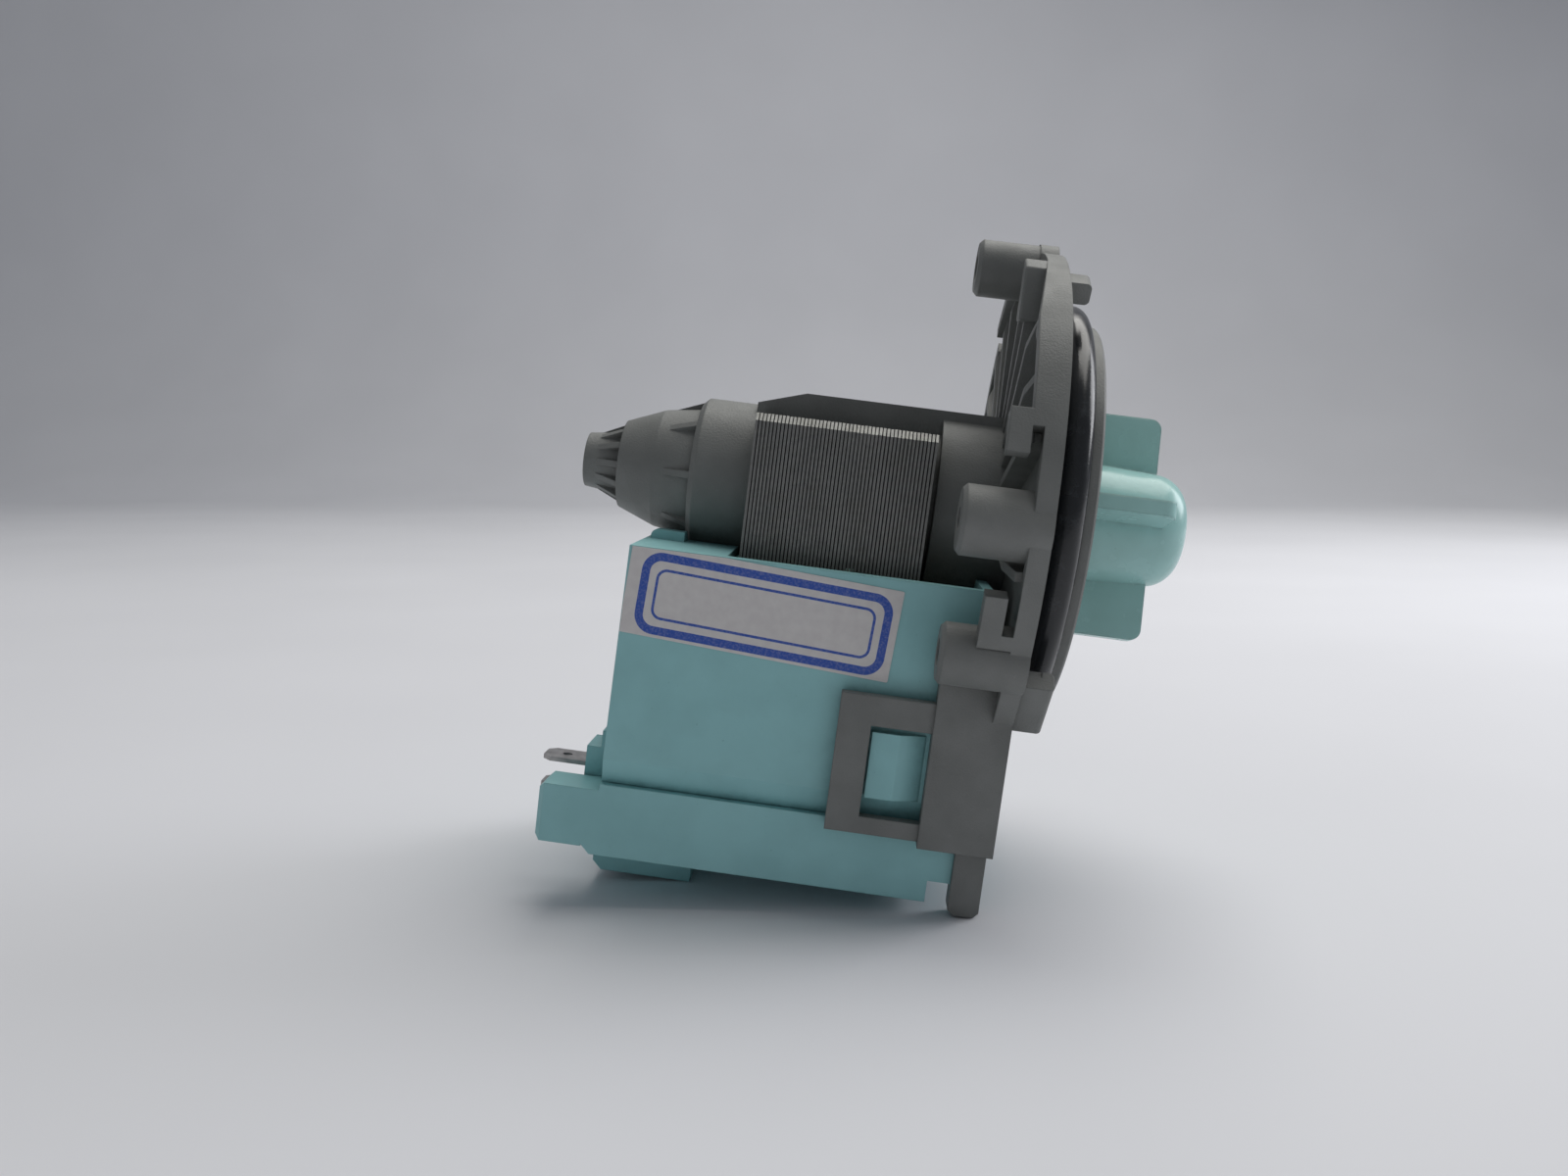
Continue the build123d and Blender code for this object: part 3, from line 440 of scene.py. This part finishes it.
def steel_sheets():
    """The core as its 49 punched sheets, cut from the CAD outline, with fine gaps between."""
    sheet_count = 49
    gap_share = 0.3
    uneven_mm = 0.02
    low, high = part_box("core_laminations")
    pitch = (high.x - low.x) / sheet_count
    bm = welded("core_laminations")
    rest = [f for f in bm.faces if f.calc_center_median().x > low.x + pitch / 10]
    bmesh.ops.delete(bm, geom=rest, context="FACES")
    bmesh.ops.dissolve_limit(bm, angle_limit=math.radians(1), verts=bm.verts, edges=bm.edges)
    outline = bm.verts[:] + bm.edges[:] + bm.faces[:]
    for sheet in range(1, sheet_count):
        copy = bmesh.ops.duplicate(bm, geom=outline)["geom"]
        points = [v for v in copy if isinstance(v, bmesh.types.BMVert)]
        slip = Vector((0, math.sin(sheet * 2.4), math.cos(sheet * 1.7))) * uneven_mm * MM
        bmesh.ops.translate(bm, verts=points, vec=Vector((sheet * pitch, 0, 0)) + slip)
    mesh = mesh_of(bm, "steel_sheets", electrical_steel())
    piece = show("steel_sheets", mesh, "motor", "core_steel", "core_laminations")
    thick = piece.modifiers.new("thickness", "SOLIDIFY")
    thick.thickness = pitch * (1 - gap_share)
    thick.offset = -1


def round_seal(name, node, body, section_mm, material):
    """A smooth O-ring in the place of its faceted CAD solid."""
    low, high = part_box(node)
    middle = (low.x + high.x) / 2
    radius = high.z - section_mm / 2 * MM
    bm = bmesh.new()
    turn = Matrix.Translation((middle, 0, radius)) @ Matrix.Rotation(math.pi / 2, 4, "X")
    ring = bmesh.ops.create_circle(bm, segments=28, radius=section_mm / 2 * MM, matrix=turn)
    bmesh.ops.spin(
        bm, geom=ring["verts"] + bm.edges[:], cent=(0, 0, 0), axis=AXIS_X, angle=2 * math.pi,
        steps=144, use_merge=True,
    )
    bmesh.ops.remove_doubles(bm, verts=bm.verts, dist=0.001 * MM)
    bmesh.ops.recalc_face_normals(bm, faces=bm.faces)
    show(name, mesh_of(bm, name, material, smooth=True), body, "seal_rubber", node)


# Stage


def pale_floor():
    """The floor that the pump stands on and the wall behind it: one plain pale sweep."""
    material, place = new_material("pale_paper")
    cloud = blotches(material, place, 160, detail=2)
    tones = {SHARE: cloud, FIRST: srgb("#dadbe0"), SECOND: srgb("#dedfe4")}
    base = add_node(material, "Mix", tones, MIXED, data_type="RGBA")
    finish_material(material, Base_Color=base, Roughness=0.8)
    near, far, bend, height, half_width = -1.2, 1.3, 0.4, 1.9, 3.0
    turns = 12
    bm = bmesh.new()
    profile = [(near, 0)] + [
        (far + bend * math.sin(a), bend - bend * math.cos(a))
        for a in (math.pi / 2 * i / turns for i in range(turns + 1))
    ] + [(far + bend, height)]
    points = [bm.verts.new((-half_width, y, z)) for y, z in profile]
    edges = [bm.edges.new(pair) for pair in zip(points, points[1:])]
    swept = bmesh.ops.extrude_edge_only(bm, edges=edges)["geom"]
    moved = [v for v in swept if isinstance(v, bmesh.types.BMVert)]
    bmesh.ops.translate(bm, verts=moved, vec=(2 * half_width, 0, 0))
    tilt = Matrix.Rotation(-math.radians(FLOOR_TILT), 4, "Y")
    bmesh.ops.transform(bm, matrix=Matrix.Translation((0, 0, FLOOR_HEIGHT_MM * MM)) @ tilt, verts=bm.verts)
    bmesh.ops.recalc_face_normals(bm, faces=bm.faces)
    floor = bpy.data.objects.new("pale_floor", mesh_of(bm, "pale_floor", material, smooth=True))
    bpy.context.collection.objects.link(floor)


def soft_lamp(name, direction, distance, size, power, tint):
    """A square soft lamp that looks at the pump."""
    lamp = bpy.data.lights.new(name, "AREA")
    lamp.size, lamp.energy, lamp.color = size, power, srgb(tint)[:3]
    holder = bpy.data.objects.new(name, lamp)
    bpy.context.collection.objects.link(holder)
    aim = (cad_low + cad_high) / 2
    way = Vector(direction).normalized()
    holder.location = aim + way * distance
    holder.rotation_mode = "QUATERNION"
    holder.rotation_quaternion = way.to_track_quat("Z", "Y")


def studio_light():
    """A wide soft ceiling light, a window to the right and behind, and a dim room."""
    soft_lamp("ceiling_light", (0.12, 0.35, 1.0), distance=1.4, size=1.3, power=16.0, tint="#fffdf8")
    soft_lamp("window_light", (0.8, 0.35, 0.5), distance=1.0, size=0.5, power=3.2, tint="#fafbff")
    world = bpy.data.worlds.new("room")
    world.use_nodes = True
    background = world.node_tree.nodes["Background"]
    background.inputs["Color"].default_value = srgb("#e8ecf2")
    background.inputs["Strength"].default_value = 0.25
    bpy.context.scene.world = world


def photograph_camera():
    """The camera where the photograph was taken."""
    data = bpy.data.cameras.new("photograph_camera")
    data.sensor_width = SENSOR_MM
    data.lens = FOCAL_PX / IMAGE_WIDTH_PX * SENSOR_MM
    data.clip_start, data.clip_end = 0.01, 20
    camera = bpy.data.objects.new("photograph_camera", data)
    bpy.context.collection.objects.link(camera)
    yaw = Matrix.Rotation(math.radians(CAMERA_YAW), 4, "Z")
    pitch = Matrix.Rotation(math.radians(90 - CAMERA_PITCH), 4, "X")
    roll = Matrix.Rotation(math.radians(CAMERA_ROLL), 4, "Z")
    place = Matrix.Translation(Vector(CAMERA_PLACE_MM) * MM)
    camera.matrix_world = place @ yaw @ pitch @ roll
    bpy.context.scene.camera = camera


def dress(material, *nodes):
    """Gives CAD nodes that stay in view their material."""
    for node in nodes:
        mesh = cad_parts[node].data
        mesh.materials.clear()
        mesh.materials.append(material)


rubber = nitrile_rubber()
dress(aqua_polypropylene(), "coil_cover", "base_lid")
dress(aqua_impeller_plastic(), "impeller", "impeller_cover")
dress(black_polyamide(), "bearing_carrier", "drive_dog")
dress(natural_polyamide(), "bobbin_near", "bobbin_far", "rotor_sleeve")
dress(rubber, "front_bearing_mount", "rear_bearing_mount", "impeller_damper", "impeller_seal")
dress(enamelled_copper(), "winding_near", "winding_far")
# Tinned brass, stamped: a soft grey shine with cloudy patches
tinned_brass = worked_metal("tinned_brass", "#b5b3b2", "#8f8d8d", gloss_span=(0.28, 0.45), mark_mm=0.6)
dress(tinned_brass, "terminal_near", "terminal_far")
# Stainless steel, ground: a bright even shine with fine marks along it
ground_steel = worked_metal("ground_stainless", "#c3c5c8", "#b4b6ba", gloss_span=(0.14, 0.26), mark_mm=0.3)
dress(ground_steel, "shaft")
# Carbon, pressed and ground: dark grey with a silky sheen
carbon_bush = ground_solid("carbon_bush", "#2a2a2c", "#222224", gloss=0.35, mark_mm=0.2)
dress(carbon_bush, "front_bearing", "rear_bearing")
# Ferrite, sintered and ground: charcoal and dull
sintered_ferrite = ground_solid("sintered_ferrite", "#38383b", "#303033", gloss=0.45, mark_mm=0.5)
dress(sintered_ferrite, "rotor_magnet")
# Alumina, sintered and ground: warm white and smooth
alumina_ceramic = ground_solid("alumina_ceramic", "#e4dfd2", "#dad5c6", gloss=0.25, mark_mm=0.3)
dress(alumina_ceramic, "rear_thrust_washer", "front_thrust_washer")
dress(printed_label(), "label")
front_moulding(grey_polypropylene())
steel_sheets()
round_seal("flange_o_ring", "flange_seal", "motor", 5.2, rubber)
round_seal("carrier_o_ring", "carrier_ring", "motor", 1.75, rubber)

pale_floor()
studio_light()
photograph_camera()
bpy.context.scene.view_settings.view_transform = "Standard"
